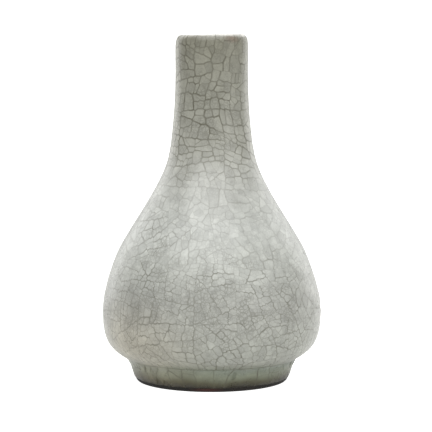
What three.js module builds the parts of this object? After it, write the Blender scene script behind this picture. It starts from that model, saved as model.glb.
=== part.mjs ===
// A stoneware bottle vase under a thick crackled celadon glaze, in millimetres, +Z up.
// The origin is the centre of the circle on which the foot stands.
//
// The body is thrown in four sections, which are luted together with slip before glazing:
// a foot ring, a bowl, a shouldered upper belly and a neck. Every piece is a solid of revolution,
// so each is a closed cross-section in the half-plane of radius (x) and height (y).
// Neighbouring pieces share the points of their common face, so they meet without a gap.

import * as THREE from "three";

// Heights, stacked from the table to the lip.
const FOOT_HEIGHT = 12;
const BOWL_HEIGHT = 27;
const SHOULDER_RISE = 18.5;
const SLOPE_RISE = 40;
const FLARE_RISE = 33;
const NECK_LENGTH = 54.5;
const LIP_HEIGHT = 5;

// Outer radii of the glazed vase at the ends of those stretches.
const CREASE_RADIUS = 46.1;
const BELLY_RADIUS = 60.1;
const SLOPE_RADIUS = 35.9;
const NECK_ROOT_RADIUS = 22.4;
const RIM_RADIUS = 19.8;

// How far the sole lies in from the crease, the shoulder from the belly, and the crest of the lip
// from the rim.
const SOLE_INSET = 4;
const SHOULDER_INSET = 3.5;
const CREST_INSET = 3;

// How far the wall leans in from upright at each of those places, in degrees.
const UNDERBELLY_LEAN = -57.6;
const SHOULDER_LEAN = 14.4;
const SLOPE_LEAN = 30.4;
const NECK_ROOT_LEAN = 7;

// Clay thickness, growing from the rim to the floor.
const RIM_WALL = 3.4;
const NECK_ROOT_WALL = 4.4;
const SLOPE_WALL = 5;
const SHOULDER_WALL = 5.2;
const BELLY_WALL = 5.6;
const FLOOR_THICKNESS = 8;
const FLOOR_RADIUS = 34;

// Coats: the crackled glaze outside, the thinner lining inside, and the glaze under the foot.
const GLAZE = 0.9;
const LIP_GLAZE = 0.5;
const LINING = 0.5;
const BASE_GLAZE = 0.6;
const CREASE_FILLET = 1.6;
const RECESS_FILLET = 2;

// The foot rim is wiped clean of glaze and dressed with a thin wash of iron slip.
const GLAZE_LINE = 2.2;
const DRESSING = 0.4;
const FOOT_RIM_WIDTH = 6;
const FOOT_BORE_LEAN = 7;
const SOLE_CHAMFER = 0.8;

// A luted joint is a bead of slip between two bevelled edges, narrow outside and wide inside,
// where it is left as a low ridge because no tool reaches it.
const SEAM_GAP = 0.6;
const SEAM_BEVEL = 4;
const SEAM_RIDGE = 0.8;

// How far each curve holds its direction, as a share of the stretch that it spans.
const PULL = 0.36;
const RIM_PULL = 0.47;
const BELLY_PULL = 0.62;
const FLOOR_PULL = 0.7;

// Facets round the axis, and steps along each curve.
const SEGMENTS = 36;
const STEPS = { bowl: 6, shoulder: 3, slope: 3, flare: 4, neck: 4, lip: 3, fillet: 3 };

const CREASE_HEIGHT = FOOT_HEIGHT;
const BELLY_HEIGHT = CREASE_HEIGHT + BOWL_HEIGHT;
const SHOULDER_HEIGHT = BELLY_HEIGHT + SHOULDER_RISE;
const SLOPE_HEIGHT = SHOULDER_HEIGHT + SLOPE_RISE;
const NECK_ROOT_HEIGHT = SLOPE_HEIGHT + FLARE_RISE;
const RIM_HEIGHT = NECK_ROOT_HEIGHT + NECK_LENGTH;
const LIP_CREST = RIM_HEIGHT + LIP_HEIGHT;
const RECESS_HEIGHT = CREASE_HEIGHT - SEAM_GAP;

const radians = THREE.MathUtils.degToRad;
const point = (radius, height) => new THREE.Vector2(radius, height);

// The places between which the wall is drawn as smooth curves. A seam is a luted joint.
const crease = {
  radius: CREASE_RADIUS, height: CREASE_HEIGHT, lean: UNDERBELLY_LEAN, wall: BELLY_WALL,
};
const belly = {
  radius: BELLY_RADIUS, height: BELLY_HEIGHT, lean: 0, wall: BELLY_WALL,
  seam: true, pullBelow: BELLY_PULL,
};
const shoulder = {
  radius: BELLY_RADIUS - SHOULDER_INSET, height: SHOULDER_HEIGHT,
  lean: SHOULDER_LEAN, wall: SHOULDER_WALL,
};
const slope = {
  radius: SLOPE_RADIUS, height: SLOPE_HEIGHT, lean: SLOPE_LEAN, wall: SLOPE_WALL,
};
const neckRoot = {
  radius: NECK_ROOT_RADIUS, height: NECK_ROOT_HEIGHT, lean: NECK_ROOT_LEAN, wall: NECK_ROOT_WALL,
  seam: true,
};
const rim = {
  radius: RIM_RADIUS, height: RIM_HEIGHT, lean: 0, wall: RIM_WALL, pullBelow: RIM_PULL,
};

// The four surfaces of the wall, by their depth below the outer one and the width of a seam there.
const LINES = {
  glazeFace: { depth: () => 0, gap: SEAM_GAP },
  clayFace: { depth: () => GLAZE, gap: SEAM_GAP },
  clayBore: { depth: (place) => GLAZE + place.wall, gap: SEAM_BEVEL },
  liningBore: { depth: (place) => GLAZE + place.wall + LINING, gap: SEAM_BEVEL },
};

// The unit vector up along the wall at a place.
function rise(place) {
  const lean = radians(place.lean);
  return point(-Math.sin(lean), Math.cos(lean));
}

// A point of a line at a place: on its upper edge (side 1) or lower edge (side -1) at a seam.
function edge(place, line, side) {
  const along = rise(place);
  const depth = LINES[line].depth(place);
  const half = place.seam ? LINES[line].gap / 2 : 0;
  return point(place.radius - depth * along.y, place.height + depth * along.x)
    .addScaledVector(along, side * half);
}

// The top of the ridge that a seam leaves on the inside.
function ridge(place, line) {
  const along = rise(place);
  const depth = LINES[line].depth(place) + SEAM_RIDGE;
  return point(place.radius - depth * along.y, place.height + depth * along.x);
}

// The curve of a line from one place up to the next, leaving and arriving along the wall.
function stretch(lower, upper, line, steps) {
  const from = edge(lower, line, 1);
  const to = edge(upper, line, -1);
  const reach = from.distanceTo(to);
  const leaving = from.clone().addScaledVector(rise(lower), reach * PULL);
  const arriving = to.clone().addScaledVector(rise(upper), -reach * (upper.pullBelow ?? PULL));
  return new THREE.CubicBezierCurve(from, leaving, arriving, to).getPoints(steps);
}

function upperBellyLine(line) {
  return [
    ...stretch(belly, shoulder, line, STEPS.shoulder),
    ...stretch(shoulder, slope, line, STEPS.slope).slice(1),
    ...stretch(slope, neckRoot, line, STEPS.flare).slice(1),
  ];
}

// One side of the rounded lip: a quarter of an ellipse from a line of the wall up to the crest.
function lipLine(line, crestHeight) {
  const start = edge(rim, line, 1);
  const crestRadius = RIM_RADIUS - CREST_INSET;
  const outside = start.x > crestRadius;
  return new THREE.EllipseCurve(
    crestRadius, start.y, Math.abs(start.x - crestRadius), crestHeight - start.y,
    outside ? 0 : Math.PI, Math.PI / 2, !outside,
  ).getPoints(STEPS.lip);
}

function neckLine(line, crestHeight) {
  return [
    ...stretch(neckRoot, rim, line, STEPS.neck),
    ...lipLine(line, crestHeight).slice(1),
  ];
}

// The inside of the bowl, from the belly seam down to the flat of the floor and the axis.
function bowlBore(line, floorHeight) {
  const from = edge(belly, line, -1);
  const to = point(FLOOR_RADIUS, floorHeight);
  const down = (from.y - to.y) * FLOOR_PULL;
  const inward = (from.x - to.x) * FLOOR_PULL;
  const curve = new THREE.CubicBezierCurve(
    from, point(from.x, from.y - down), point(to.x + inward, to.y), to,
  );
  return [...curve.getPoints(STEPS.bowl), point(0, floorHeight)];
}

// The outer side of the foot at a height, at a depth below the glaze.
const footLean = Math.atan2(SOLE_INSET, FOOT_HEIGHT);
function footFace(height, depth) {
  const inset = (FOOT_HEIGHT - height) * Math.tan(footLean) + depth / Math.cos(footLean);
  return point(CREASE_RADIUS - inset, height);
}

// The inner side of the foot at a height, at a depth out of the clay into the recess.
function footBore(height, depth) {
  const soleRadius = footFace(0, GLAZE - DRESSING).x - FOOT_RIM_WIDTH;
  const spread = (GLAZE_LINE - height) * Math.tan(radians(FOOT_BORE_LEAN));
  return point(soleRadius + DRESSING + spread - depth, height);
}

// The underside of the foot rim between the two glaze lines, from outside to inside.
function soleLine(coat) {
  const bottom = DRESSING - coat;
  const outer = footFace(bottom + SOLE_CHAMFER, GLAZE - coat);
  const inner = footBore(bottom + SOLE_CHAMFER, coat);
  return [
    footFace(GLAZE_LINE, GLAZE - coat),
    outer,
    point(outer.x - SOLE_CHAMFER, bottom),
    point(inner.x + SOLE_CHAMFER, bottom),
    inner,
    footBore(GLAZE_LINE, coat),
  ];
}

// The glaze pools in the crease between foot and bowl, and rounds it off.
function creaseFillet() {
  const corner = point(CREASE_RADIUS, CREASE_HEIGHT);
  const below = corner.clone()
    .addScaledVector(point(-Math.sin(footLean), -Math.cos(footLean)), CREASE_FILLET);
  const above = corner.clone().addScaledVector(rise(crease), CREASE_FILLET);
  return new THREE.QuadraticBezierCurve(below, corner, above).getPoints(STEPS.fillet);
}

// The glaze also rounds the corner between the foot's bore and the ceiling of the recess.
function recessFillet() {
  const ceiling = CREASE_HEIGHT - BASE_GLAZE;
  const corner = footBore(ceiling, BASE_GLAZE);
  return new THREE.QuadraticBezierCurve(
    footBore(ceiling - RECESS_FILLET, BASE_GLAZE), corner, point(corner.x - RECESS_FILLET, ceiling),
  ).getPoints(STEPS.fillet);
}

const clayCrest = LIP_CREST - LIP_GLAZE;
const floorHeight = CREASE_HEIGHT + FLOOR_THICKNESS;
const reversed = (points) => [...points].reverse();

// The bead of slip that fills a seam.
function seamSection(place) {
  return [
    edge(place, "clayBore", -1),
    edge(place, "clayFace", -1),
    edge(place, "clayFace", 1),
    edge(place, "clayBore", 1),
    ridge(place, "clayBore"),
  ];
}

// The clay's outer side below the belly seam: the corner over the foot, then the underbelly.
const bowlFace = [
  footFace(CREASE_HEIGHT, GLAZE),
  ...stretch(crease, belly, "clayFace", STEPS.bowl),
];
const footRingTop = [footBore(RECESS_HEIGHT, 0), footFace(RECESS_HEIGHT, GLAZE)];
const footSeatInBowl = [footBore(CREASE_HEIGHT, 0), footFace(CREASE_HEIGHT, GLAZE)];

// Each section lists its corners anticlockwise, with the axis on the left.
const sections = {
  foot_ring: [
    ...reversed(soleLine(0)),
    ...reversed(footRingTop),
  ],
  foot_luting: [
    ...footRingTop,
    ...reversed(footSeatInBowl),
  ],
  lower_belly: [
    point(0, CREASE_HEIGHT),
    footSeatInBowl[0],
    ...bowlFace,
    ...bowlBore("clayBore", floorHeight),
  ],
  belly_luting: seamSection(belly),
  upper_belly: [
    ...upperBellyLine("clayFace"),
    ...reversed(upperBellyLine("clayBore")),
  ],
  neck_luting: seamSection(neckRoot),
  neck: [
    ...neckLine("clayFace", clayCrest),
    ...reversed(neckLine("clayBore", clayCrest)).slice(1),
  ],
  outer_glaze: [
    footFace(GLAZE_LINE, 0),
    ...creaseFillet(),
    ...stretch(crease, belly, "glazeFace", STEPS.bowl).slice(1),
    ...upperBellyLine("glazeFace"),
    ...neckLine("glazeFace", LIP_CREST),
    ...reversed(neckLine("clayFace", clayCrest)),
    ...reversed(upperBellyLine("clayFace")),
    ...reversed(bowlFace),
    footFace(RECESS_HEIGHT, GLAZE),
    footFace(GLAZE_LINE, GLAZE),
  ],
  inner_glaze: [
    ...reversed(bowlBore("clayBore", floorHeight)),
    ridge(belly, "clayBore"),
    ...upperBellyLine("clayBore"),
    ridge(neckRoot, "clayBore"),
    ...neckLine("clayBore", clayCrest),
    ...reversed(neckLine("liningBore", LIP_CREST)),
    ridge(neckRoot, "liningBore"),
    ...reversed(upperBellyLine("liningBore")),
    ridge(belly, "liningBore"),
    ...bowlBore("liningBore", floorHeight + LINING),
  ],
  base_glaze: [
    point(0, CREASE_HEIGHT - BASE_GLAZE),
    ...reversed(recessFillet()),
    footBore(GLAZE_LINE, BASE_GLAZE),
    footBore(GLAZE_LINE, 0),
    footBore(RECESS_HEIGHT, 0),
    footBore(CREASE_HEIGHT, 0),
    point(0, CREASE_HEIGHT),
  ],
  foot_rim_dressing: [
    ...reversed(soleLine(DRESSING)),
    ...soleLine(0),
  ],
};

// A glaze scatters light in its depth and shines at its surface; the bare clay is matt.
const glazed = { color: 0xaeb0a6, roughness: 0.22, metalness: 0 };
const finishes = {
  foot_ring: { color: 0x8a7a68, roughness: 0.85, metalness: 0 },
  foot_luting: { color: 0x9a8b78, roughness: 0.9, metalness: 0 },
  lower_belly: { color: 0x8a7a68, roughness: 0.85, metalness: 0 },
  belly_luting: { color: 0x9a8b78, roughness: 0.9, metalness: 0 },
  upper_belly: { color: 0x8a7a68, roughness: 0.85, metalness: 0 },
  neck_luting: { color: 0x9a8b78, roughness: 0.9, metalness: 0 },
  neck: { color: 0x8a7a68, roughness: 0.85, metalness: 0 },
  outer_glaze: glazed,
  inner_glaze: glazed,
  base_glaze: glazed,
  foot_rim_dressing: { color: 0x33241c, roughness: 0.7, metalness: 0 },
};

// Turns a cross-section about the vase's axis, which LatheGeometry takes as Y, and stands it on Z.
function turned(section) {
  const first = section[0];
  const closed = first.x === 0 ? section : [...section, first.clone()];
  return new THREE.LatheGeometry(closed, SEGMENTS).rotateX(Math.PI / 2);
}

const vase = new THREE.Group();
for (const [name, section] of Object.entries(sections)) {
  const piece = new THREE.Mesh(
    turned(section),
    new THREE.MeshStandardMaterial(finishes[name]),
  );
  piece.name = name;
  vase.add(piece);
}

export default vase;
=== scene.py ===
# A crackle-glazed celadon bottle vase on a pale studio floor. Lengths are in metres.
import bisect
import cmath
import math
import random

import bpy
import numpy as np
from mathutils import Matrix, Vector, noise


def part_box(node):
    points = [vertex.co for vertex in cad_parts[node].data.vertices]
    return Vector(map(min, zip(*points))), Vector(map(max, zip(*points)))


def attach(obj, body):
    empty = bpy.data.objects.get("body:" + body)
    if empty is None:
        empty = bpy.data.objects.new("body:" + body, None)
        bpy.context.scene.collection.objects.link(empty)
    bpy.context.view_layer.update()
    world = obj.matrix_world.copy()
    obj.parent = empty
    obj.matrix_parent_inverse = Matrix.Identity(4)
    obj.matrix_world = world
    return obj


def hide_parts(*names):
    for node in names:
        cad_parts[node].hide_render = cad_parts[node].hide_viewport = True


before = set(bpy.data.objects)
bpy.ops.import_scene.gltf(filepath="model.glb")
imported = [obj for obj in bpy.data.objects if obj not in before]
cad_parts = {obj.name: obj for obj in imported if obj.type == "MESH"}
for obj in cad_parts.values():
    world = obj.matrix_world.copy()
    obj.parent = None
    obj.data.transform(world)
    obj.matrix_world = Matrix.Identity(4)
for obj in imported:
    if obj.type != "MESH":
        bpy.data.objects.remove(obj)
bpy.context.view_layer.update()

MM = 0.001

# Without a seed, Blender's vector noise starts from the clock.
noise.seed_set(1)

# The photograph's camera, found by fitting the outline, the mouth and the foot.
CAMERA_DISTANCE = 1030 * MM
CAMERA_HEIGHT = 188 * MM
CAMERA_SIDE = 2.36 * MM
CAMERA_PITCH = 5.41
SENSOR = 36
LENS = 156.66

# How finely outlines, spun pieces and cracks are drawn.
OUTLINE_STEP = 0.15 * MM
SPIN_STEPS = 120
CRACK_STEP = 0.8 * MM

# A crack's stain fades out over this distance on each side, times the share for a faint crack and what
# a dark one has on top.
STAIN = 0.52 * MM
STAIN_FAINT = 0.6
STAIN_EXTRA = 0.8

# How far a crack wavers from a straight line, and over what distance.
WAVERS = [(4 * MM, 70 * MM), (2.3 * MM, 28 * MM), (0.7 * MM, 10 * MM), (0.3 * MM, 4 * MM)]

# How often the cracks are pulled taut, and how near to the edges and joints they are held.
SETTLING = 11
HELD = 5 * MM

# How a cell cracks: how many places are tried, how far the crack turns from square across the cell, in
# radians, and how far it lies off the middle. Then the range of sizes at which a cell stays whole.
TRIES = 4
SKEW = 0.52
OFF_CENTRE = 0.18
WHOLE = (0.55, 1.7)

# The stain: how fast it darkens with a crack's age, how uneven it is, its least, and that of the crack
# up the back in which the net is closed.
AGEING = 1.3
UNEVEN = (0.4, 1.4)
FAINTEST = 0.28
BACK_CRACK = 0.5

# Insets: the least room in a cell, and the most of its width and of the way to its middle that they take.
LEAST_ROOM = 0.05 * MM
MOST_WIDTH = 0.45
MOST_WAY = 0.85

# Heights at which a long crack runs all round, and how dark it is. The lowest is straight: it follows
# the rim of the glaze that pooled over the crease of the foot.
POOL_CRACK = (13, 1.0)
LONG_CRACKS = [(70, 0.5), (108, 0.9), (151, 0.8)]

# The potter's hand: swellings of the wall as (share of the radius, waves round, waves up, start). They
# grow from nothing over the lowest tenth.
SWELLINGS = [
    (0.0022, 2, 3.0, 0.4),
    (0.0014, 3, 7.0, 2.1),
    (0.0010, 1, 17.0, 4.0),
    (0.0007, 5, 29.0, 1.3),
]
STEADY_FOOT = 0.1

# The tilt of the lip, and the belly's joint: its tilt, its dent in the flanks with the cosine from which
# it begins and that over which it deepens, its width, and its step, which fades out below.
LIP_TILT = 0.28 * MM
SEAM_TILT = 0.6 * MM
SEAM_DENT = 0.25 * MM
DENT_FROM = 0.6
DENT_FADE = 0.35
SEAM_WIDTH = 0.7 * MM
SEAM_STEP = 0.2 * MM
SEAM_STEP_FADE = 7 * MM

# Cells up to this many times the usual size stay whole now and then. A crack that parts a cell of
# the old size or more is as dark as any.
CLEAN_CELL = 3.2
CLEAN_SHARE = 0.13
OLD_CELL = 9 * MM

# The outer glaze's cells by height: their usual area, and how level or upright their cracks keep,
# from 0 to 1. They are large and upright round the foot, and a fine mesh round the belly.
GRAIN = [
    (0, 90, 0.9), (12, 90, 0.9), (14, 16, 0.2), (20, 10, 0.0), (39, 7, 0.0), (60, 7, 0.0), (80, 14, 0.0),
    (105, 18, 0.1), (130, 18, 0.1), (190, 22, 0.1),
]
GRAIN_PATCH = 15 * MM
GRAIN_SPREAD = 1.4
INNER_CELL = 18 * MM * MM
INNER_SQUARENESS = 0.4

# How much of the lining's bore is crackled: what can be seen through the mouth. Below, it is plain.
BORE_SHOWN = 62 * MM
LINING_STEP = 2.5 * MM

# Where the pieces of the outer coat part, above the belly's joint.
BELLY_TOP = 62 * MM
SHOULDER_TOP = 108 * MM

# Coats keep a little clear of the clay. The outer one is thin at its bead and thins towards the lip.
OUTER_COAT = 0.93
INNER_COAT = 0.9
BEAD_COAT = 0.3
BEAD_RUN = 1.2 * MM
LIP_RUN = 6 * MM

# How far the corners of the foot rim are worn, and from what angle an edge stays sharp.
WORN = 0.1 * MM
SHARP = 40


def make_camera():
    camera = bpy.data.objects.new("camera", bpy.data.cameras.new("camera"))
    bpy.context.collection.objects.link(camera)
    camera.location = (CAMERA_SIDE, -CAMERA_DISTANCE, CAMERA_HEIGHT)
    camera.rotation_euler = (math.radians(90 - CAMERA_PITCH), 0, 0)
    camera.data.sensor_width = SENSOR
    camera.data.lens = LENS
    bpy.context.scene.camera = camera


# Outlines, which come from the CAD nodes' own cross-sections.

SAME = 0.002 * MM


def cross_section(node):
    """The chain of (radius, height) points at which a turned node crosses the half-plane of +X and +Z."""
    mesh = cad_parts[node].data
    links = {}
    for edge in mesh.edges:
        ends = [mesh.vertices[i].co for i in edge.vertices]
        if all(abs(p.y) < SAME and p.x > -SAME for p in ends):
            a, b = [(round(abs(p.x), 6), round(p.z, 6)) for p in ends]
            if a != b:
                links.setdefault(a, set()).add(b)
                links.setdefault(b, set()).add(a)
    chain = [min(links, key=lambda p: (p[0] > SAME, p[1]))]
    while onward := [p for p in links[chain[-1]] if p not in chain]:
        chain.append(min(onward))
    return chain


def way_round(chain, first, last, best):
    """The way round a cross-section from its point first to its point last that has the best points."""
    start, end = chain.index(first), chain.index(last)
    turned = chain[start:] + chain[:start]
    gap = (end - start) % len(chain)
    ways = turned[:gap + 1], [turned[0]] + turned[:gap - 1:-1]
    return max(ways, key=lambda way: sum(best(p) for p in way) / len(way))


def smooth(points):
    """A centripetal Catmull-Rom curve through the points, finely stepped."""
    given = np.array(points, float)
    given = np.vstack([2 * given[0] - given[1], given, 2 * given[-1] - given[-2]])
    pieces = [given[1:2]]
    for a, b, c, d in zip(given, given[1:], given[2:], given[3:]):
        before, here, after = (math.sqrt(np.linalg.norm(q - p)) for p, q in ((a, b), (b, c), (c, d)))
        leaving = here * ((b - a) / before - (c - a) / (before + here)) + (c - b)
        arriving = here * ((d - c) / after - (d - b) / (here + after)) + (c - b)
        t = np.linspace(0, 1, max(2, math.ceil(np.linalg.norm(c - b) / OUTLINE_STEP)) + 1)[1:, None]
        pieces.append(
            (2 * t**3 - 3 * t**2 + 1) * b + (t**3 - 2 * t**2 + t) * leaving
            + (3 * t**2 - 2 * t**3) * c + (t**3 - t**2) * arriving
        )
    return np.vstack(pieces)


class Outline:
    """A smooth outline of radius and height, with the air on its right. Distances run along it."""

    def __init__(self, points):
        self.points = points
        steps = np.hypot(*np.diff(self.points, axis=0).T)
        self.along = np.concatenate([[0], np.cumsum(steps)])
        self.length = float(self.along[-1])
        slope = np.gradient(self.points, self.along, axis=0)
        self.outward = np.column_stack([slope[:, 1], -slope[:, 0]])
        self.outward /= np.linalg.norm(self.outward, axis=1)[:, None]

    def at(self, distance, table=None):
        table = self.points if table is None else table
        return [np.interp(distance, self.along, column) for column in table.T]

    def distance_at(self, height):
        """The first distance at which the outline reaches a height."""
        return float(self.along[np.argmax(self.points[:, 1] >= height)])

    def skin(self, angle, distance, depth):
        """Points on the turned surface, at a depth under it."""
        radius, height = self.at(distance)
        out, up = self.at(distance, self.outward)
        radius, height = radius - depth * out, height - depth * up
        return np.column_stack([radius * np.cos(angle), radius * np.sin(angle), height])


glaze_section = cross_section("outer_glaze")
lining_section = cross_section("inner_glaze")
base_section = cross_section("base_glaze")
dressing_section = cross_section("foot_rim_dressing")

CREST = max(glaze_section, key=lambda p: p[1])
TOP = CREST[1]
GLAZE_LINE = min(glaze_section, key=lambda p: (p[1], -p[0]))
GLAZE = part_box("outer_glaze")[1].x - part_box("upper_belly")[1].x
LIP_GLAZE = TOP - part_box("neck")[1].z
FLOOR_TOP = max((p for p in lining_section if p[0] < SAME), key=lambda p: p[1])
FLOOR_CLAY = min((p for p in lining_section if p[0] < SAME), key=lambda p: p[1])
LINING = FLOOR_TOP[1] - FLOOR_CLAY[1]
CEILING = min((p for p in base_section if p[0] < SAME), key=lambda p: p[1])
BASE_GLAZE = max(p[1] for p in base_section) - CEILING[1]
BASE_LINE = min(base_section, key=lambda p: (p[1], p[0]))
BELLY_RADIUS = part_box("outer_glaze")[1].x
SEAM_HEIGHT = (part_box("lower_belly")[1].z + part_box("upper_belly")[0].z) / 2
NECK_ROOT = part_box("neck")[0].z
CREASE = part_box("foot_ring")[1].z

# The glaze ends above the foot rim in a rounded bead, rolled in from the coat's face.
BEAD = 0.45 * MM
bead = [
    (GLAZE_LINE[0] - BEAD, GLAZE_LINE[1] - 0.1 * BEAD),
    (GLAZE_LINE[0] - 0.35 * BEAD, GLAZE_LINE[1] + 0.1 * BEAD),
    (GLAZE_LINE[0] + 0.3 * BEAD, GLAZE_LINE[1] + 1.3 * BEAD),
]
outer_side = way_round(glaze_section, GLAZE_LINE, CREST, lambda p: p[0])
bore_side = way_round(lining_section, CREST, FLOOR_TOP, lambda p: p[0] > SAME)
ceiling_side = way_round(base_section, CEILING, BASE_LINE, lambda p: p[0] > SAME)
over_lip = smooth(bead + outer_side[1:] + bore_side[1:])
crest_index = int(np.argmax(over_lip[:, 1]))
outer_outline = Outline(over_lip[:crest_index + 1])
bore_outline = Outline(over_lip[crest_index:])
ceiling_outline = Outline(smooth(ceiling_side))


def ease(share):
    share = np.clip(share, 0, 1)
    return share * share * (3 - 2 * share)


def hand_thrown(points):
    """Shifts points as hand and kiln did: no wall is quite round, and no lip quite level."""
    x, y, z = points.T
    angle = np.arctan2(y, x)
    height = z / TOP
    swell = sum(
        size * np.sin(round_ * angle + up * height + start) for size, round_, up, start in SWELLINGS
    )
    swell = swell * ease(height / STEADY_FOOT)
    above_seam = z - SEAM_HEIGHT - SEAM_TILT * np.cos(angle)
    bulge = SEAM_STEP * np.exp(np.minimum(above_seam, 0) / SEAM_STEP_FADE)
    bulge = bulge * ease(0.5 - above_seam / SEAM_WIDTH)
    bulge = bulge * ease((z - CREASE) / (0.5 * (SEAM_HEIGHT - CREASE)))
    dent = SEAM_DENT * np.exp(-(above_seam / SEAM_WIDTH) ** 2)
    dent = dent * ease((np.abs(np.cos(angle)) - DENT_FROM) / DENT_FADE)
    outside = np.hypot(x, y) > 0.8 * BELLY_RADIUS
    swell = swell + outside * (bulge - dent) / BELLY_RADIUS
    lift = LIP_TILT * ease((z - NECK_ROOT) / (TOP - NECK_ROOT)) * x / CREST[0]
    return np.column_stack([x * (1 + swell), y * (1 + swell), z + lift])


# The net of cracks. It is drawn on a flat chart, whose points are complex numbers.

class TurnedChart:
    """A turned surface unrolled: across is the angle from the front, up the distance along the outline.

    Each ring is the distance and the darkness of a crack that runs all round. The still one doesn't waver.
    """

    turn = 2 * math.pi

    def __init__(self, outline, length, grain, rings=(), still=0.0):
        self.outline, self.length, self.grain, self.rings = outline, length, grain, list(rings)
        self.still = still

    def scale(self, place):
        return float(self.outline.at(place.imag)[0])

    def polar(self, places):
        return places.real - math.pi / 2, places.imag

    def room(self, places):
        """How far the places are from the edges and the still ring."""
        return np.min([np.abs(places.imag - level) for level in (0, self.still, self.length)], axis=0)

    def first_cells(self, crackle):
        """The bands between the edges and rings, each closed by a seam up the back.

        A cell's side is a crack, the shares that it runs from and to, and the turns that it is shifted by.
        """
        rings = [(0.0, 0.0)] + self.rings + [(self.length, 0.0)]
        places = [complex(-math.pi, distance) for distance, _ in rings]
        spots = [crackle.spot(place, 0) for place in places]
        cracks = [
            crackle.crack(place, place + self.turn, darkness, spot, spot)
            for place, (_, darkness), spot in zip(places, rings, spots)
        ]
        seams = [
            crackle.crack(a, b, BACK_CRACK, i, j)
            for a, b, i, j in zip(places, places[1:], spots, spots[1:])
        ]
        return [
            [(low, 0.0, 1.0, 0), (seam, 0.0, 1.0, self.turn), (high, 1.0, 0.0, 0), (seam, 1.0, 0.0, 0)]
            for low, high, seam in zip(cracks, cracks[1:], seams)
        ]


class DiscChart:
    """A shallow dish seen flat, with the axis at 0. A turned outline's distance from the axis is kept."""

    turn = 0
    sides = 48

    def __init__(self, outline, grain):
        self.outline, self.grain, self.length = outline, grain, outline.length

    def scale(self, place):
        return 1.0

    def polar(self, places):
        return -np.angle(places), np.abs(places)

    def room(self, places):
        return self.length - np.abs(places)

    def first_cells(self, crackle):
        places = [cmath.rect(self.length, 2 * math.pi * i / self.sides) for i in range(self.sides)]
        spots = [crackle.spot(place, 0) for place in places]
        edges = zip(places, places[1:] + places[:1], spots, spots[1:] + spots[:1])
        return [[(crackle.crack(a, b, 0, i, j), 0.0, 1.0, 0) for a, b, i, j in edges]]


class Crack:
    """A crack, straight until it is bent. Its stops are the shares of its length where others meet it."""

    def __init__(self, start, end, darkness, stops):
        self.start, self.end, self.darkness, self.stops = start, end, darkness, stops

    def at(self, share):
        return self.start + (self.end - self.start) * share


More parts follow.
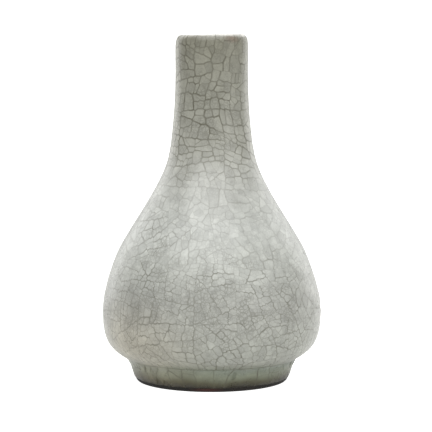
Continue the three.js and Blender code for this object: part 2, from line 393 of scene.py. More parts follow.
class Crackle:
    """Cracks that split a glaze again and again, each ending at right angles or so on older ones."""

    def __init__(self, chart, seed):
        self.chart = chart
        self.random = random.Random(seed)
        self.spots = []
        self.darkness = []
        self.cracks = []
        self.cells = []
        self.shatter(chart.first_cells(self))
        for crack in self.cracks:
            self.fill(crack)
        self.spots = np.array(self.spots)
        self.bent = self.spots.copy()
        self.settle()
        self.bent += self.waver()

    def spot(self, place, darkness):
        self.spots.append(place)
        self.darkness.append(darkness)
        return len(self.spots) - 1

    def crack(self, start, end, darkness, first, last):
        self.cracks.append(Crack(start, end, darkness, [(0.0, first), (1.0, last)]))
        return self.cracks[-1]

    def stop(self, crack, share, darkness):
        spot = self.spot(crack.at(share), max(crack.darkness, darkness))
        bisect.insort(crack.stops, (share, spot))
        return spot

    def shatter(self, waiting):
        while waiting:
            cell = waiting.pop()
            corners = [crack.at(a) + shift for crack, a, b, shift in cell]
            middle = sum(corners) / len(corners)
            across = self.chart.scale(middle)
            flat = [flattened(p - middle, across) for p in corners]
            area = sum((a.conjugate() * b).imag for a, b in zip(flat, flat[1:] + flat[:1])) / 2
            grain, squareness = self.chart.grain(self.chart, middle)
            clean = area < CLEAN_CELL * grain and self.random.random() < CLEAN_SHARE
            if clean or area < grain * self.random.uniform(*WHOLE):
                self.cells.append(cell)
            else:
                waiting += self.split(cell, flat, area, squareness)

    def split(self, cell, flat, area, squareness):
        """Two cells, parted by a new crack across the middle of this one, square to its length."""
        count = len(flat)
        pull = sum(
            abs(b - a) * ((a + b) / 2) ** 2 for a, b in zip(flat, flat[1:] + flat[:1])
        )
        lengthwise = cmath.rect(1, cmath.phase(pull) / 2)
        best = (-1, None)
        for _ in range(TRIES):
            turned = cmath.phase(lengthwise * 1j) + self.random.gauss(0, SKEW)
            heading = cmath.rect(1, turned - squareness * math.sin(4 * turned) / 4)
            through = lengthwise * self.random.gauss(0, OFF_CENTRE) * math.sqrt(area)
            off = [((p - through) * heading.conjugate()).imag for p in flat]
            hits = [
                (i, off[i] / (off[i] - off[(i + 1) % count]))
                for i in range(count) if (off[i] < 0) != (off[(i + 1) % count] < 0)
            ]
            spare = min(
                (min(share, 1 - share) * abs(flat[(i + 1) % count] - flat[i]) for i, share in hits),
                default=-2,
            )
            best = max(best, (spare, hits))
        darkness = self.new_darkness(area)
        spots, cuts = [], []
        for i, share in best[1]:
            crack, a, b, shift = cell[i]
            cut = a + (b - a) * share
            spots.append(self.stop(crack, cut, darkness))
            cuts.append((cut, crack.at(cut) + shift))
        (i, _), (j, _) = best[1]
        (cut_i, place_i), (cut_j, place_j) = cuts
        new = self.crack(place_i, place_j, darkness, *spots)
        crack_i, from_i, to_i, shift_i = cell[i]
        crack_j, from_j, to_j, shift_j = cell[j]
        inner = [(crack_i, cut_i, to_i, shift_i)] + cell[i + 1:j]
        inner += [(crack_j, from_j, cut_j, shift_j), (new, 1.0, 0.0, 0)]
        outer = [(crack_j, cut_j, to_j, shift_j)] + cell[j + 1:] + cell[:i]
        outer += [(crack_i, from_i, cut_i, shift_i), (new, 0.0, 1.0, 0)]
        return [inner, outer]

    def new_darkness(self, area):
        """Old cracks part large cells and are dark with stain. Late ones are faint."""
        age = min(1.0, math.sqrt(area) / OLD_CELL)
        return max(FAINTEST, min(1.0, age ** AGEING * self.random.uniform(*UNEVEN)))

    def fill(self, crack):
        """Adds spots along a crack, close enough for it to bend."""
        filled = crack.stops[:1]
        for (a, _), (b, spot) in zip(crack.stops, crack.stops[1:]):
            ends = crack.at(a), crack.at(b)
            across = self.chart.scale((ends[0] + ends[1]) / 2)
            count = math.ceil(abs(flattened(ends[1] - ends[0], across)) / CRACK_STEP)
            for i in range(1, count):
                share = a + (b - a) * i / count
                filled.append((share, self.spot(crack.at(share), crack.darkness)))
            filled.append((b, spot))
        crack.stops = filled

    def settle(self):
        """Pulls the cracks taut, so that an old one kinks where a later one meets it, as in old glazes."""
        links = []
        for crack in self.cracks:
            turns = [(crack.at(share) - self.spots[spot]).real for share, spot in crack.stops]
            for (_, a), (_, b), from_, to in zip(crack.stops, crack.stops[1:], turns, turns[1:]):
                links.append((a, b, round((to - from_) / (2 * math.pi)) * self.chart.turn))
        first, second, beyond = (np.array(column) for column in zip(*links))
        across = np.array([self.chart.scale(place) for place in self.spots])
        ties = np.bincount(np.append(first, second))
        free = ease(self.chart.room(self.spots) / HELD)
        for _ in range(SETTLING):
            spans = flattened(self.bent[second] + beyond - self.bent[first], across[first])
            pull = np.zeros(len(self.spots), complex)
            np.add.at(pull, first, spans)
            np.add.at(pull, second, -spans)
            self.bent += unflattened(0.5 * free * pull / ties, across)

    def waver(self):
        """How much the cracks waver, which they don't at the chart's edges and joints."""
        angle, distance = self.chart.polar(self.bent)
        at = self.chart.outline.skin(angle, distance, 0)
        shifts = np.zeros(len(at), complex)
        for size, reach in WAVERS:
            found = [noise.noise_vector(Vector(p) / reach) for p in at]
            found = np.array([complex(v.x + 0.7 * v.z, v.y - 0.7 * v.z) for v in found])
            shifts += size * found * ease(self.chart.room(self.spots) / (3 * size))
        across = np.array([self.chart.scale(place) for place in self.spots])
        return unflattened(shifts, across)

    def ring(self, cell):
        """The spots round a cell, each with the turns by which the cell lies beyond it."""
        found = []
        for crack, a, b, shift in cell:
            low, high = min(a, b), max(a, b)
            first = bisect.bisect_left(crack.stops, (low, -1))
            last = bisect.bisect_left(crack.stops, (high, -1))
            stops = crack.stops[first:last + 1]
            if a > b:
                stops = stops[::-1]
            for share, spot in stops[:-1]:
                beyond = (crack.at(share) + shift - self.spots[spot]).real
                found.append((spot, round(beyond / (2 * math.pi)) * self.chart.turn))
        return found


def flattened(span, across):
    """A span of a chart, measured in metres both ways."""
    return span.real * across + 1j * span.imag


def unflattened(span, across):
    return span.real / across + 1j * span.imag


def inset(flat, reach):
    """The places just inside a ring, where the stain of its cracks has faded, and the cell's middle.

    Each lies on the way to the middle, as far from the sides beside it as their stain reaches.
    """
    after = np.roll(flat, -1)
    wedges = (flat.conjugate() * after).imag
    middle = ((flat + after) * wedges).sum() / (3 * wedges.sum())
    length = np.maximum(np.abs(after - flat), 1e-9)
    inward = 1j * (after - flat) / length
    room = ((middle - flat) * inward.conjugate()).real
    width = np.minimum(reach, MOST_WIDTH * max(room.min(), LEAST_ROOM))
    apart = (flat[:, None] - flat) * inward.conjugate()
    beside = (apart.real < 2 * width) & (np.abs(apart.imag / length + 0.5) < 0.6)
    way = np.where(beside, (width - apart.real) / np.maximum(room - apart.real, LEAST_ROOM), 0)
    return flat + (middle - flat) * np.clip(way.max(axis=1), 0, MOST_WAY), middle


class Skin:
    """Gathers the vertices and faces of a piece of crackled coat."""

    def __init__(self, crackle, coat):
        self.crackle, self.coat = crackle, coat
        self.places, self.depths, self.darkness = [], [], []
        self.faces, self.corners, self.tints = [], [], []
        self.fronts, self.backs = {}, {}

    def vertex(self, place, deep, darkness):
        self.places.append(place)
        self.depths.append(deep)
        self.darkness.append(darkness)
        return len(self.places) - 1

    def face(self, vertices, places, tint, deep=False):
        self.faces.append(vertices)
        self.corners += [(place, deep) for place in places]
        self.tints.append(tint)

    def add_cell(self, ring, places, tint):
        """A cell's face: a band beside the cracks, and a fan round the middle. Then its back."""
        middle = places.mean()
        across = self.crackle.chart.scale(middle)
        worn = np.array([self.crackle.darkness[spot] for spot, _ in ring])
        reach = STAIN * (STAIN_FAINT + STAIN_EXTRA * np.minimum(worn, np.roll(worn, -1)))
        inner, centre = inset(flattened(places - middle, across), reach)
        inner = middle + unflattened(inner, across)
        centre = middle + unflattened(centre, across)
        count = len(ring)
        for (spot, shift), place in zip(ring, places):
            if spot not in self.fronts:
                self.fronts[spot] = self.vertex(place - shift, False, self.crackle.darkness[spot])
                self.backs[spot] = self.vertex(place - shift, True, 0)
        front = [self.fronts[spot] for spot, _ in ring]
        band = [self.vertex(place, False, 0) for place in inner]
        heart = self.vertex(centre, False, 0)
        for i in range(count):
            j = (i + 1) % count
            self.face(
                (front[i], front[j], band[j], band[i]), (places[i], places[j], inner[j], inner[i]), tint
            )
            self.face((band[i], band[j], heart), (inner[i], inner[j], centre), tint)
        self.face([self.backs[spot] for spot, _ in ring][::-1], places[::-1], tint, True)

    def close_sides(self, rings):
        """Walls along the piece's own border, between its face and its back."""
        sides = {}
        for ring in rings:
            for (a, shift_a), (b, shift_b) in zip(ring, ring[1:] + ring[:1]):
                sides[a, b] = (self.crackle.bent[a] + shift_a, self.crackle.bent[b] + shift_b)
        for (a, b), (place_a, place_b) in sides.items():
            if (b, a) not in sides:
                self.face(
                    (self.fronts[b], self.fronts[a], self.backs[a], self.backs[b]),
                    (place_b, place_a, place_a, place_b), 0.5, True,
                )

    def positions(self, places):
        angle, distance = self.crackle.chart.polar(places)
        depth = np.where(self.depths, self.coat(distance), 0)
        return hand_thrown(self.crackle.chart.outline.skin(angle, distance, depth))

    def normals(self, places):
        """Normals of the smooth surface, turned round on the back."""
        chart = self.crackle.chart
        angle, distance = chart.polar(places)
        little = 0.15 * MM
        radius = np.maximum(chart.outline.at(distance)[0], little)
        depth = np.where(self.depths, self.coat(distance), 0)
        low = np.clip(distance - little, 0, chart.outline.length)
        high = np.clip(distance + little, 0, chart.outline.length)
        skin = chart.outline.skin
        round_ = hand_thrown(skin(angle + little / radius, distance, depth)) - hand_thrown(
            skin(angle - little / radius, distance, depth))
        up = hand_thrown(skin(angle, high, depth)) - hand_thrown(skin(angle, low, depth))
        found = np.cross(round_, up)
        found /= np.maximum(np.linalg.norm(found, axis=1), 1e-12)[:, None]
        return np.where(np.array(self.depths)[:, None], -found, found)


def link_object(name, mesh):
    piece = bpy.data.objects.new(name, mesh)
    bpy.context.collection.objects.link(piece)
    return piece


def crackled_piece(name, crackle, cells, coat):
    """A closed coat made of these cells, with its cracks and tints as attributes and a map for baking."""
    skin = Skin(crackle, coat)
    rings = [crackle.ring(cell) for cell in cells]
    tint = random.Random(name)
    for ring in rings:
        places = np.array([crackle.bent[spot] + shift for spot, shift in ring])
        skin.add_cell(ring, places, tint.random())
    skin.close_sides(rings)
    places = np.array(skin.places)
    skin.depths = np.array(skin.depths)
    mesh = bpy.data.meshes.new(name)
    mesh.from_pydata(skin.positions(places).tolist(), [], skin.faces)
    stain = mesh.attributes.new("stain", "FLOAT", "POINT")
    stain.data.foreach_set("value", np.array(skin.darkness, np.float32))
    cell_tint = mesh.attributes.new("cell_tint", "FLOAT", "FACE")
    cell_tint.data.foreach_set("value", np.array(skin.tints, np.float32))
    unwrap(mesh, crackle.chart, skin.corners)
    mesh.shade_smooth()
    mesh.normals_split_custom_set_from_vertices(skin.normals(places).tolist())
    return link_object(name, mesh)


def unwrap(mesh, chart, corners):
    """The chart as the bake's map, with the unseen back squeezed into a strip beside it."""
    places = np.array([place for place, _ in corners])
    back = np.array([deep for _, deep in corners])
    across, up = places.real, places.imag
    across = (across - across.min()) / (across.max() - across.min())
    up = (up - up.min()) / (up.max() - up.min())
    u = 0.01 + 0.98 * across
    v = np.where(back, 0.975 + 0.02 * up, 0.01 + 0.955 * up)
    layer = mesh.uv_layers.new(name="OFBake")
    layer.uv.foreach_set("vector", np.column_stack([u, v]).astype(np.float32).ravel())


def outer_grain(chart, place):
    """The usual area of a cell at a place, and how level or upright its cracks keep."""
    angle, distance = chart.polar(np.array([place]))
    at = chart.outline.skin(angle, distance, 0)[0]
    heights, areas, squareness = zip(*GRAIN)
    area = np.interp(at[2] / MM, heights, areas) * MM * MM
    area = area * math.exp(GRAIN_SPREAD * noise.noise(Vector(at) / GRAIN_PATCH))
    return area, np.interp(at[2] / MM, heights, squareness)


def inner_grain(chart, place):
    return INNER_CELL, INNER_SQUARENESS


rings = [
    (outer_outline.distance_at(height * MM), darkness) for height, darkness in [POOL_CRACK] + LONG_CRACKS
]
outer_chart = TurnedChart(outer_outline, outer_outline.length, outer_grain, rings, still=rings[0][0])
outer_crackle = Crackle(outer_chart, seed=7)
bore_crackle = Crackle(TurnedChart(bore_outline, BORE_SHOWN, inner_grain), seed=11)
base_crackle = Crackle(DiscChart(ceiling_outline, inner_grain), seed=5)


def outer_coat(distance):
    end = outer_outline.length
    thickness = [BEAD_COAT * GLAZE, GLAZE, GLAZE, LIP_GLAZE]
    return OUTER_COAT * np.interp(distance, [0, BEAD_RUN, end - LIP_RUN, end], thickness)


def bore_coat(distance):
    return np.full(np.shape(distance), INNER_COAT * LINING)


def base_coat(distance):
    return np.full(np.shape(distance), INNER_COAT * BASE_GLAZE)


def make_outer_glaze():
    """The outer coat in pieces, one above the other, which part along cracks."""
    tops = {
        "bowl_crackle_glaze": SEAM_HEIGHT, "belly_crackle_glaze": BELLY_TOP,
        "shoulder_crackle_glaze": SHOULDER_TOP, "neck_crackle_glaze": 2 * TOP,
    }
    bands = {name: [] for name in tops}
    for cell in outer_crackle.cells:
        middle = sum(crack.at(a).imag for crack, a, _, _ in cell) / len(cell)
        height = outer_outline.at(middle)[1]
        name = next(name for name, top in tops.items() if height < top)
        bands[name].append(cell)
    return [crackled_piece(name, outer_crackle, cells, outer_coat) for name, cells in bands.items()]


def spun_piece(name, section, closed_on_axis):
    """A closed cross-section spun about the axis as on a wheel."""
    mesh = bpy.data.meshes.new(name)
    last = len(section) - 1
    edges = [(i, i + 1) for i in range(last)] + ([] if closed_on_axis else [(last, 0)])
    mesh.from_pydata([(radius, 0, height) for radius, height in section], edges, [])
    piece = link_object(name, mesh)
    bpy.ops.object.select_all(action="DESELECT")
    piece.select_set(True)
    bpy.context.view_layer.objects.active = piece
    bpy.ops.object.mode_set(mode="EDIT")
    bpy.ops.mesh.select_all(action="SELECT")
    bpy.ops.mesh.spin(steps=SPIN_STEPS, angle=2 * math.pi, center=(0, 0, 0), axis=(0, 0, 1))
    bpy.ops.mesh.select_all(action="SELECT")
    bpy.ops.mesh.remove_doubles(threshold=SAME)
    bpy.ops.mesh.normals_make_consistent(inside=False)
    bpy.ops.object.mode_set(mode="OBJECT")
    points = np.empty(len(mesh.vertices) * 3)
    mesh.vertices.foreach_get("co", points)
    mesh.vertices.foreach_set("co", hand_thrown(points.reshape(-1, 3)).ravel())
    bpy.ops.object.shade_smooth_by_angle(angle=math.radians(SHARP))
    return piece


def make_lining_below():
    """The lining from where its crackled part ends down to the floor."""
    distances = np.append(np.arange(BORE_SHOWN, bore_outline.length, LINING_STEP), bore_outline.length)
    face = np.column_stack(bore_outline.at(distances))
    out = np.column_stack(bore_outline.at(distances, bore_outline.outward))
    back = face - INNER_COAT * LINING * out
    back[-1, 0] = 0
    return spun_piece("lining_below_neck", [tuple(p) for p in np.vstack([face, back[::-1]])], False)


def make_dressing():
    """The wiped foot rim, its corners worn round."""
    count = len(dressing_section)
    section = []
    for i, here in enumerate(dressing_section):
        before, after = dressing_section[i - 1], dressing_section[(i + 1) % count]
        section += [corner_cut(here, before), corner_cut(here, after)]
    return spun_piece("iron_dressed_foot_rim", section, False)


def corner_cut(corner, towards):
    """A point a little way from a corner along one of its sides."""
    span = math.dist(corner, towards)
    share = min(WORN, 0.3 * span) / span
    return tuple(c + (t - c) * share for c, t in zip(corner, towards))


# Materials.

def linear(code):
    """A hex sRGB colour as a linear RGBA tuple."""
    parts = [int(code[i:i + 2], 16) / 255 for i in (1, 3, 5)]
    return tuple(c / 12.92 if c <= 0.04045 else ((c + 0.055) / 1.055) ** 2.4 for c in parts) + (1.0,)


def add(tree, kind, inputs=None, stops=None, **settings):
    """Adds a shader node with its settings, the stops of its ramp, and its inputs as values or links."""
    made = tree.nodes.new("ShaderNode" + kind)
    for name, value in settings.items():
        setattr(made, name, value)
    for socket, value in (inputs or {}).items():
        if isinstance(value, bpy.types.NodeSocket):
            tree.links.new(value, made.inputs[socket])
        else:
            made.inputs[socket].default_value = value
    if stops:
        elements = made.color_ramp.elements
        while len(elements) < len(stops):
            elements.new(1)
        for element, (position, colour) in zip(elements, stops):
            element.position = position
            element.color = colour if isinstance(colour, tuple) else linear(colour)
    return made


def new_material(name):
    material = bpy.data.materials.new(name)
    material.use_nodes = True
    material.node_tree.nodes.clear()
    return material, material.node_tree


def finish_material(tree, shader):
    add(tree, "OutputMaterial", {"Surface": shader.outputs["BSDF"]})


# Celadon's colour by height, from the foot to the lip, with painted shade and painted light in it.
# It runs thin and brown over the foot rim, darker towards the bottom partly from thin glaze and partly
# as painted shade, and pools blue-green above it, with painted shade in the crease. It is pale on the
# shoulder, partly where it lies thick and partly as painted light from above, thins to olive grey up
# the neck, and is near white at the lip as a painted highlight.
CELADON_WITH_PAINTED_LIGHT = [
    (0.0, "#0f0d08"), (0.01, "#201c0f"), (0.026, "#4a4832"), (0.045, "#777c6a"), (0.066, "#777e72"),
    (0.073, "#888b80"), (0.086, "#8c8e84"), (0.096, "#979991"), (0.25, "#9c9d97"), (0.36, "#a9aba5"),
    (0.46, "#adafaa"), (0.58, "#a6a7a1"), (0.7, "#929289"), (0.8, "#86867c"), (0.985, "#757467"),
    (0.9915, "#7d7b70"), (0.995, "#adaca4"), (0.9985, "#d2d1ca"), (1.0, "#e6e5e0"),
]

# How far these colours stray up and down by height: little at the foot and at the lip.
LOOSENESS = [(0.0, 0.15), (0.25, 1.0), (0.9, 1.0), (0.97, 0.06)]

# How dark the stain is in the main cracks by height, and in the fine mesh between them.
STAINING = [
    (0.0, 0.7), (0.06, 1.0), (0.08, 0.8), (0.16, 0.74), (0.32, 0.7), (0.42, 0.38), (0.56, 0.38),
    (0.72, 0.9), (1.0, 1.0),
]
FINE_STAINING = [
    (0.0, 0.2), (0.1, 0.3), (0.2, 0.5), (0.32, 0.5), (0.45, 0.2), (0.6, 0.2), (0.75, 0.45), (1.0, 0.5),
]

# The fine mesh's cells, how far they are bent, and how wide its lines are, as a share of a cell. They are
# drawn a little coarser than the real ones, so that they show.
FINE_MESH = 1.9 * MM
FINE_LINE = 0.16
MESH_WARP = 1.4 * MM

# Painted shade and painted light, in millimetres: the middle of a patch, its reach along each axis, and
# how bright it is. The darker patches on the front and left flank of the belly, at the sides of the
# shoulder and of the foot, and just above the crease are painted shade. The paler ones on the front of
# the shoulder and at the sides of the neck are a painted highlight and painted reflections.
PAINTED_SHADE_AND_LIGHT = [
    ((-38, -43, 48), (26, 28, 30), 0.84),
    ((38, -43, 52), (15, 20, 24), 0.94),
    ((-62, -8, 40), (24, 42, 30), 0.79),
    ((-44, -12, 5), (24, 40, 12), 0.7),
    ((47, -4, 5), (12, 30, 11), 0.88),
    ((-24, -34, 88), (10, 14, 16), 1.05),
    ((26, -30, 84), (12, 16, 20), 1.07),
    ((-43, -6, 84), (18, 36, 26), 0.9),
    ((46, -6, 84), (14, 30, 24), 0.96),
    ((-38, -28, 15), (18, 18, 7), 0.87),
    ((38, -28, 16), (16, 16, 6), 0.91),
    ((-21, 0, 160), (9, 20, 60), 1.24),
    ((21, 0, 156), (9, 20, 62), 1.25),
]

# Where the cracks have soaked up more stain than elsewhere, and how many times more.
SOAKED = ((-29, -32, 86), (27, 28, 29))
SOAKED_STAIN = 1.75

# Warm tints, in mm, with their colour and strength: a spot on the lip, where iron in the clay flushes
# the thin glaze, and a pale warm patch on the left of the bowl, which is a painted warm reflection.
IRON_FLUSH_AND_WARM_REFLECTION = [
    ((11.4, -16.2, 187.5), (7, 6, 3), "#7a5a4c", 0.4),
    ((-44, -38, 23), (56, 52, 34), "#a89a80", 0.34),
]

# The lining is in the shade of the wall, and greener. Its palest stop, at the lip, is a painted highlight.
LINING_CELADON = [(0.0, "#85897a"), (0.9, "#8b8f80"), (0.985, "#8f9184"), (1.0, "#e2e1dc")]

# The dark line of the belly's joint, partly stain and partly painted shade of its dent: its half
# width, its rise towards the front, how far it strays, how dark it is, and between which shares of
# the belly's radius it comes up.
JOINT_WIDTH = 0.9 * MM
JOINT_RISE = 0.13
JOINT_SWAY = 1.6 * MM
JOINT_DARKNESS = 0.88
JOINT_FROM = 0.82
JOINT_FULL = 0.97


def by_height(tree, share, stops):
    """A strength by share of the vase's height."""
    stops = [(at, (strength, strength, strength, 1)) for at, strength in stops]
    return add(tree, "ValToRGB", {"Fac": share}, stops=stops).outputs["Color"]


def near(tree, place, middle, reach):
    """1 at the middle of a place on the vase, and 0 beyond its reach."""
    off = add(tree, "VectorMath", {0: place, 1: [c * MM for c in middle]}, operation="SUBTRACT")
    off = add(tree, "VectorMath", {0: off.outputs[0], 1: [1 / (r * MM) for r in reach]},
              operation="MULTIPLY")
    off = add(tree, "VectorMath", {0: off.outputs[0]}, operation="LENGTH").outputs["Value"]
    return add(tree, "MapRange", {"Value": off, "To Min": 1.0, "To Max": 0.0},
               interpolation_type="SMOOTHSTEP").outputs["Result"]


def joint_line_and_shade(tree, place, mottle):
    """The dark line of the belly's joint, which shows only on the front half of the two flanks."""
    # The line is partly stain and partly painted shade of the dent, seen edge-on at the flanks.
    axes = add(tree, "SeparateXYZ", {"Vector": place}).outputs
    level = axes["Z"]
    slopes = (-SEAM_TILT / BELLY_RADIUS, axes["X"]), (JOINT_RISE, axes["Y"]), (JOINT_SWAY, mottle)
    for slope, along in slopes:
        level = add(tree, "Math", {0: along, 1: slope, 2: level}, operation="MULTIPLY_ADD").outputs[0]
    off = add(tree, "Math", {0: level, 1: SEAM_HEIGHT + JOINT_SWAY / 2}, operation="SUBTRACT").outputs[0]
    off = add(tree, "Math", {0: off}, operation="ABSOLUTE").outputs[0]
    line = add(tree, "MapRange", {"Value": off, "From Max": JOINT_WIDTH, "To Min": 1.0, "To Max": 0.0},
               interpolation_type="SMOOTHSTEP").outputs["Result"]
    side = add(tree, "Math", {0: axes["X"]}, operation="ABSOLUTE").outputs[0]
    grit = add(tree, "TexNoise", {"Vector": place, "Scale": 1 / (1.8 * MM), "Detail": 2.0}).outputs["Fac"]
    for value, low, high, least, most in (
        (grit, 0.38, 0.56, 0.4, 1.0),
        (side, JOINT_FROM * BELLY_RADIUS, JOINT_FULL * BELLY_RADIUS, 0.0, JOINT_DARKNESS),
        (axes["Y"], -2 * MM, 6 * MM, 1.0, 0.0),
    ):
        shown = add(tree, "MapRange", {
            "Value": value, "From Min": low, "From Max": high, "To Min": least, "To Max": most,
        }).outputs["Result"]
        line = add(tree, "Math", {0: line, 1: shown}, operation="MULTIPLY").outputs[0]
    return line


def crack_lines(tree, place, share, cloud, mottle, cluster, stain):
    """How dark the lines are: stained cracks, the fine mesh between them, and the belly's joint."""
    line = add(tree, "MapRange", {"Value": stain, "From Max": 0.8}, interpolation_type="SMOOTHSTEP")
    line = add(tree, "Math", {0: line.outputs["Result"], 1: by_height(tree, share, STAINING)},
               operation="MULTIPLY").outputs[0]
    warp = add(tree, "TexNoise", {"Vector": place, "Scale": 1 / (2.6 * MM), "Detail": 2.0})
    warped = add(tree, "VectorMath", {0: warp.outputs["Color"], 1: [MESH_WARP] * 3, 2: place},
                 operation="MULTIPLY_ADD")
    gap = add(tree, "TexVoronoi", {"Vector": warped.outputs[0], "Scale": 1 / FINE_MESH},
              feature="DISTANCE_TO_EDGE").outputs["Distance"]
    fine = add(tree, "MapRange", {"Value": gap, "From Max": FINE_LINE, "To Min": 1.0, "To Max": 0.0},
               interpolation_type="SMOOTHSTEP").outputs["Result"]
    for strength in (by_height(tree, share, FINE_STAINING), cluster):
        fine = add(tree, "Math", {0: fine, 1: strength}, operation="MULTIPLY").outputs[0]
    line = add(tree, "Math", {0: line, 1: fine}, operation="MAXIMUM").outputs[0]
    for value, least, most in ((cloud, 0.7, 1.0), (mottle, 0.62, 1.15)):
        uneven = add(tree, "MapRange", {
            "Value": value, "From Min": 0.35, "From Max": 0.65, "To Min": least, "To Max": most,
        }).outputs["Result"]
        line = add(tree, "Math", {0: line, 1: uneven}, operation="MULTIPLY").outputs[0]
    # The joint's line, partly stain and partly painted shade of its dent.
    joint = joint_line_and_shade(tree, place, mottle)
    line = add(tree, "Math", {0: line, 1: joint}, operation="MAXIMUM").outputs[0]
    soaked = add(tree, "MapRange", {
        "Value": near(tree, place, *SOAKED), "To Min": 1.0, "To Max": SOAKED_STAIN,
    }).outputs["Result"]
    return add(tree, "Math", {0: line, 1: soaked}, operation="MULTIPLY").outputs[0]


def celadon(name, colours=CELADON_WITH_PAINTED_LIGHT, dull=0.0):
    """Fired celadon: a milky glass over grey clay, glossy, with the stain of tea or ink in its cracks."""
    material, tree = new_material(name)
    place = add(tree, "TexCoord").outputs["Object"]
    cloud, mottle, cluster, bubbles, peel = (
        add(tree, "TexNoise", {"Vector": place, "Scale": 1 / (size * MM), "Detail": detail}).outputs["Fac"]
        for size, detail in ((22, 3.0), (4, 4.0), (9, 2.0), (0.8, 2.0), (1.6, 1.0))
    )
    height = add(tree, "SeparateXYZ", {"Vector": place}).outputs["Z"]
    share = add(tree, "Math", {0: height, 1: 1 / TOP}, operation="MULTIPLY").outputs[0]
    drift = add(tree, "MapRange", {"Value": cloud, "To Min": -0.05, "To Max": 0.05}).outputs["Result"]
    loose = by_height(tree, share, LOOSENESS)
    level = add(tree, "Math", {0: drift, 1: loose, 2: share}, operation="MULTIPLY_ADD").outputs[0]
    # Colour by height, with painted shade at the foot and crease, painted light on the shoulder and a
    # painted highlight at the lip.
    colour = add(tree, "ValToRGB", {"Fac": level}, stops=colours).outputs["Color"]
    # A flush of iron on the lip, and a painted warm reflection on the bowl.
    for middle, reach, hue, strength in IRON_FLUSH_AND_WARM_REFLECTION:
        warm_tint = near(tree, place, middle, reach)
        warm_tint = add(tree, "Math", {0: warm_tint, 1: strength}, operation="MULTIPLY").outputs[0]
        mix = add(tree, "Mix", {"Factor": warm_tint, 6: colour, 7: linear(hue)}, data_type="RGBA")
        colour = mix.outputs[2]
    cell = add(tree, "Attribute", attribute_name="cell_tint").outputs["Fac"]
    stain = add(tree, "Attribute", attribute_name="stain").outputs["Fac"]
    cluster = add(tree, "MapRange", {"Value": cluster, "From Min": 0.38, "From Max": 0.62})
    cluster = cluster.outputs["Result"]
    shades = [
        (cell, 0.0, 1.0, 0.9, 1.08), (mottle, 0.3, 0.7, 0.91, 1.07), (bubbles, 0.3, 0.7, 0.95, 1.05),
        (cluster, 0.0, 1.0, 1.03, 0.95),
    ]
    # Patches of painted shade and painted light.
    shades += [(near(tree, place, at, reach), 0.0, 1.0, 1.0, bright) for at, reach, bright in PAINTED_SHADE_AND_LIGHT]
    for value, low, high, least, most in shades:
        light = add(tree, "MapRange", {
            "Value": value, "From Min": low, "From Max": high, "To Min": least, "To Max": most,
        }).outputs["Result"]
        colour = add(tree, "VectorMath", {0: colour, "Scale": light}, operation="SCALE").outputs["Vector"]
    line = crack_lines(tree, place, share, cloud, mottle, cluster, stain)
    stained = add(tree, "Mix", {"Factor": line, 6: colour, 7: linear("#4c4a3c")}, data_type="RGBA")
    gloss = add(tree, "MapRange", {"Value": mottle, "To Min": 0.22 + dull, "To Max": 0.36 + dull})
    relief = add(tree, "Math", {0: peel, 1: stain}, operation="SUBTRACT").outputs[0]
    bump = add(tree, "Bump", {"Height": relief, "Strength": 0.25, "Distance": 0.02 * MM}).outputs["Normal"]
    finish_material(tree, add(tree, "BsdfPrincipled", {
        "Base Color": stained.outputs[2], "Roughness": gloss.outputs["Result"], "IOR": 1.5, "Normal": bump,
    }))
    return material


def iron_dressing():
    """Bare clay that turned brown to black in the fire, with redder patches where the iron oxidised."""
    material, tree = new_material("burnt_iron_and_shadow_dressing")
    place = add(tree, "TexCoord").outputs["Object"]
    patch = add(tree, "TexNoise", {"Vector": place, "Scale": 1 / (16 * MM), "Detail": 3.0}).outputs["Fac"]
    grit = add(tree, "TexNoise", {"Vector": place, "Scale": 1 / (0.6 * MM), "Detail": 3.0}).outputs["Fac"]
    # Near black, partly the burnt iron and partly painted shadow where the rim meets the table.
    colour = add(tree, "ValToRGB", {"Fac": patch}, stops=[
        (0.0, "#0c0a06"), (0.5, "#120f0a"), (0.7, "#1f160f"), (1.0, "#321c12"),
    ]).outputs["Color"]
    flash = near(tree, place, (-3, -43, 1), (13, 6, 4))
    mix = add(tree, "Mix", {"Factor": flash, 6: colour, 7: linear("#3c160e")}, data_type="RGBA")
    light = add(tree, "MapRange", {"Value": grit, "To Min": 0.75, "To Max": 1.2}).outputs["Result"]
    colour = add(tree, "VectorMath", {0: mix.outputs[2], "Scale": light}, operation="SCALE").outputs[0]
    bump = add(tree, "Bump", {"Height": grit, "Strength": 0.6, "Distance": 0.1 * MM}).outputs["Normal"]
    finish_material(tree, add(tree, "BsdfPrincipled", {
        "Base Color": colour, "Roughness": 0.72, "IOR": 1.5, "Normal": bump,
    }))
    return material


def stoneware(name, dark, pale, grain):
    """Fired stoneware: dense grey-brown clay, matt, with grains of sand that size. Slip is finer."""
    material, tree = new_material(name)
    place = add(tree, "TexCoord").outputs["Object"]
    sand = add(tree, "TexNoise", {"Vector": place, "Scale": 1 / grain, "Detail": 4.0}).outputs["Fac"]
    colour = add(tree, "ValToRGB", {"Fac": sand}, stops=[(0.35, dark), (0.65, pale)]).outputs["Color"]
    bump = add(tree, "Bump", {"Height": sand, "Strength": 0.5, "Distance": 0.1 * MM}).outputs["Normal"]
    finish_material(tree, add(tree, "BsdfPrincipled", {
        "Base Color": colour, "Roughness": 0.85, "IOR": 1.5, "Normal": bump,
    }))
    return material


def dress(piece, material, node):
    piece.data.materials.append(material)
    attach(piece, "root")
    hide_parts(node)


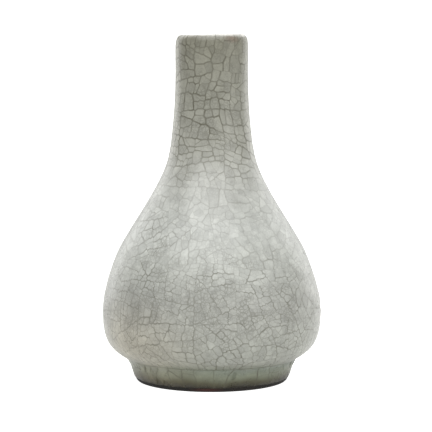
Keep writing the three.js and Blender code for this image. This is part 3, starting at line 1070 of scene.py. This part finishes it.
def make_vase():
    outer = celadon("crackled_celadon")
    lining = celadon("celadon_lining", LINING_CELADON, 0.05)
    underside = celadon("celadon_underside", dull=0.05)
    for piece in make_outer_glaze():
        dress(piece, outer, "outer_glaze")
    bore = crackled_piece("bore_crackle_glaze", bore_crackle, bore_crackle.cells, bore_coat)
    dress(bore, lining, "inner_glaze")
    dress(make_lining_below(), lining, "inner_glaze")
    base = crackled_piece("base_crackle_glaze", base_crackle, base_crackle.cells, base_coat)
    dress(base, underside, "base_glaze")
    dress(make_dressing(), iron_dressing(), "foot_rim_dressing")
    clay = stoneware("grey_stoneware", "#6b5d4c", "#8f7f6b", 0.8 * MM)
    slip = stoneware("luting_slip", "#84745f", "#9b8b75", 0.3 * MM)
    for node in ("foot_ring", "lower_belly", "upper_belly", "neck"):
        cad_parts[node].material_slots[0].material = clay
    for node in ("foot_luting", "belly_luting", "neck_luting"):
        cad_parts[node].material_slots[0].material = slip


# The studio.

ROOM_LIGHT = 0.6
TABLE_GLOW = 0.9
TABLE_LIGHT = 0.34
FLOOR_SIDE = 3.0
FLOOR_FRONT = -1.6
FLOOR_BACK = 1.4
BACKDROP_HEIGHT = 2.2
SWEEP_RADIUS = 0.8


def make_floor():
    """A shooting table of acrylic, lit from below: flat under the vase, then curving up behind it.

    It is white for the eye, and dimmer for the light that it gives.
    """
    bend = [
        (FLOOR_BACK + SWEEP_RADIUS * math.sin(a), SWEEP_RADIUS * (1 - math.cos(a)))
        for a in np.linspace(0, math.pi / 2, 16)
    ]
    line = [(FLOOR_FRONT, 0.0)] + bend + [(FLOOR_BACK + SWEEP_RADIUS, BACKDROP_HEIGHT)]
    vertices = [(side * FLOOR_SIDE, y, z) for y, z in line for side in (-1, 1)]
    faces = [(2 * i, 2 * i + 1, 2 * i + 3, 2 * i + 2) for i in range(len(line) - 1)]
    mesh = bpy.data.meshes.new("shooting_table")
    mesh.from_pydata(vertices, [], faces)
    mesh.shade_smooth()
    material, tree = new_material("lit_white_acrylic")
    seen = add(tree, "LightPath").outputs["Is Camera Ray"]
    glow = add(tree, "MapRange", {"Value": seen, "To Min": TABLE_LIGHT, "To Max": TABLE_GLOW})
    finish_material(tree, add(tree, "BsdfPrincipled", {
        "Base Color": linear("#dcdcda"), "Roughness": 0.9, "Specular IOR Level": 0.1,
        "Emission Color": linear("#ffffff"), "Emission Strength": glow.outputs["Result"],
    }))
    mesh.materials.append(material)
    link_object("shooting_table", mesh)


def area_light(name, place, aim, size, power):
    light = bpy.data.lights.new(name, "AREA")
    light.shape = "RECTANGLE"
    light.size, light.size_y = size
    light.energy = power
    lamp = bpy.data.objects.new(name, light)
    bpy.context.collection.objects.link(lamp)
    lamp.location = place
    lamp.rotation_euler = (Vector(aim) - Vector(place)).to_track_quat("-Z", "Y").to_euler()


def make_world():
    """A white room, dimmer for the light that it gives than for the eye."""
    world = bpy.data.worlds.new("white_room")
    bpy.context.scene.world = world
    world.use_nodes = True
    tree = world.node_tree
    tree.nodes.clear()
    seen = add(tree, "LightPath").outputs["Is Camera Ray"]
    strength = add(tree, "MapRange", {"Value": seen, "To Min": ROOM_LIGHT, "To Max": 1.0})
    background = add(tree, "Background", {
        "Color": linear("#ffffff"), "Strength": strength.outputs["Result"],
    })
    add(tree, "OutputWorld", {"Surface": background.outputs["Background"]})


def make_studio():
    make_floor()
    make_world()
    middle = (0, 0, 0.5 * TOP)
    area_light("front_softbox", (-0.1, -0.8, 1.2), middle, (1.8, 1.0), 14)
    area_light("left_softbox", (-1.0, 0.9, 0.4), middle, (0.9, 1.4), 4)
    area_light("right_softbox", (1.0, 0.9, 0.4), middle, (0.9, 1.4), 3.5)
    area_light("right_fill", (1.2, -0.8, 0.7), middle, (1.0, 1.0), 3)
    area_light("top_softbox", (0.0, 0.3, 1.4), middle, (1.2, 0.8), 6)
    bpy.context.scene.view_settings.view_transform = "Standard"
    bpy.context.scene.view_settings.look = "None"


make_camera()
make_vase()
make_studio()
